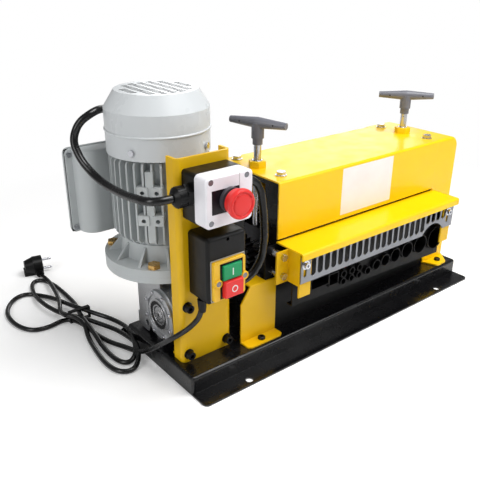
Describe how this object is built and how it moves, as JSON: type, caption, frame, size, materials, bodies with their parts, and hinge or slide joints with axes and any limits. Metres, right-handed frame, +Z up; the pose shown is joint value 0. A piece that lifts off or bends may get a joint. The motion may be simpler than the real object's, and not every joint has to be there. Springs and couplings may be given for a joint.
{
  "type": "wire_stripping_machine",
  "caption": "Motor-driven benchtop cable stripping machine with yellow covers, worm-geared upright motor, graded cable guide, emergency stop and T-handle blade adjusters on a black tray",
  "frame": {"origin": "Middle of the four base holes, at the level the tray stands on", "axes": "+X along the machine to its right end, +Y to the back, +Z up"},
  "size_m": [0.791, 0.5829, 0.4165],
  "materials": {
    "yellow_paint": "satin yellow powder coat",
    "black_paint": "glossy black paint",
    "motor_paint": "satin grey paint on castings",
    "cast_aluminium": "bright die-cast aluminium",
    "bright_steel": "turned and ground steel",
    "zinc_steel": "zinc-plated fasteners",
    "yellow_zinc": "yellow zinc-plated hexagon bolts",
    "black_steel": "blackened steel",
    "comb_metal": "satin grey-silver sheet",
    "blade_steel": "ground tool steel",
    "black_plastic": "moulded black plastic, slightly grained",
    "white_plastic": "white moulded plastic",
    "yellow_plastic": "yellow moulded plastic",
    "red_plastic": "red moulded plastic",
    "green_plastic": "green moulded plastic",
    "grey_plastic": "dark grey moulded plastic",
    "black_rubber": "black cable sheath and seals"
  },
  "bodies": {
    "base": {"base_tray": "black_paint", "motor_bracket": "yellow_paint", "gearbox_housing": "cast_aluminium", "hub_seals": "black_rubber", "socket_screws": "black_steel", "input_flange": "motor_paint", "drive_end_shield": "motor_paint", "flange_bolts": "yellow_zinc", "motor_body": "motor_paint", "fan_cowl": "motor_paint", "motor_screws": "zinc_steel", "tail_end_shield": "motor_paint", "stator": "black_steel", "shaft_bearings": "bright_steel", "capacitor_box": "motor_paint", "capacitor_lid": "motor_paint", "left_side_plate": "black_paint", "right_side_plate": "black_paint", "screw_bars": "black_paint", "main_cover": "yellow_paint", "end_cover": "yellow_paint", "lower_hood": "yellow_paint", "left_wing": "yellow_paint", "right_wing": "yellow_paint", "cable_guide": "black_paint", "front_plate": "black_paint", "cover_screws": "zinc_steel", "gear_guard": "yellow_paint", "estop_base": "black_plastic", "estop_cover": "white_plastic", "estop_collar": "grey_plastic", "control_screws": "zinc_steel", "switch_box": "black_plastic", "switch_bezel": "yellow_plastic", "cable_glands": "black_plastic", "motor_lead": "black_rubber", "switch_lead": "black_rubber", "power_cord": "black_rubber", "cord_hank": "black_rubber", "cord_tie": "black_plastic", "plug_body": "black_plastic", "plug_pins": "zinc_steel"},
    "lower_roller": {"lower_shaft": "bright_steel", "worm_wheel": "bright_steel", "lower_gear": "bright_steel"},
    "carriage": {"sliding_blocks": "bright_steel"},
    "upper_roller": {"upper_shaft": "bright_steel", "slitting_blades": "blade_steel", "upper_gear": "bright_steel"},
    "left_adjuster": {"left_screw": "zinc_steel", "left_handle": "grey_plastic"},
    "right_adjuster": {"right_screw": "zinc_steel", "right_handle": "grey_plastic"},
    "rotor": {"motor_spindle": "bright_steel", "cooling_fan": "black_plastic"},
    "stop_stem": {"estop_stem": "black_plastic"},
    "stop_head": {"estop_mushroom": "red_plastic"},
    "green_key": {"green_button": "green_plastic"},
    "red_key": {"red_button": "red_plastic"},
    "comb": {"comb_plate": "comb_metal"}
  },
  "joints": [
    {"name": "lower_roller_turn", "type": "hinge", "parent": "base", "child": "lower_roller", "pos_m": [0.065, 0.008, 0.085], "axis": [1, 0, 0], "continuous": true},
    {"name": "carriage_lift", "type": "slide", "parent": "base", "child": "carriage", "axis": [0, 0, 1], "range_m": [0, 0.004]},
    {"name": "upper_roller_turn", "type": "hinge", "parent": "carriage", "child": "upper_roller", "pos_m": [0.065, 0.008, 0.145], "axis": [1, 0, 0], "continuous": true},
    {"name": "left_screw_turn", "type": "hinge", "parent": "carriage", "child": "left_adjuster", "pos_m": [-0.112, 0.017, 0.3], "axis": [0, 0, 1], "range_deg": [0, 960]},
    {"name": "right_screw_turn", "type": "hinge", "parent": "carriage", "child": "right_adjuster", "pos_m": [0.252, 0.017, 0.3], "axis": [0, 0, 1], "range_deg": [0, 960]},
    {"name": "rotor_turn", "type": "hinge", "parent": "base", "child": "rotor", "pos_m": [-0.2665, 0.058, 0.26], "axis": [0, 0, 1], "continuous": true},
    {"name": "stop_press", "type": "slide", "parent": "base", "child": "stop_stem", "axis": [0, 1, 0], "range_m": [0, 0.004], "stiffness_N_per_m": 400},
    {"name": "stop_twist", "type": "hinge", "parent": "stop_stem", "child": "stop_head", "pos_m": [-0.2645, -0.13, 0.298], "axis": [0, -1, 0], "range_deg": [-30, 0], "stiffness_Nm_per_rad": 0.05},
    {"name": "green_press", "type": "slide", "parent": "base", "child": "green_key", "axis": [0, 1, 0], "range_m": [0, 0.003], "stiffness_N_per_m": 300},
    {"name": "red_press", "type": "slide", "parent": "base", "child": "red_key", "axis": [0, 1, 0], "range_m": [0, 0.003], "stiffness_N_per_m": 300},
    {"name": "comb_lift", "type": "slide", "parent": "base", "child": "comb", "axis": [0, 0, 1], "range_m": [0, 0.0045]}
  ],
  "couplings": [
    {"joint": "rotor_turn", "follows": "lower_roller_turn", "ratio": 15},
    {"joint": "upper_roller_turn", "follows": "lower_roller_turn", "ratio": -1},
    {"joint": "left_screw_turn", "follows": "carriage_lift", "rad_per_m": 4188.8},
    {"joint": "right_screw_turn", "follows": "carriage_lift", "rad_per_m": 4188.8}
  ]
}
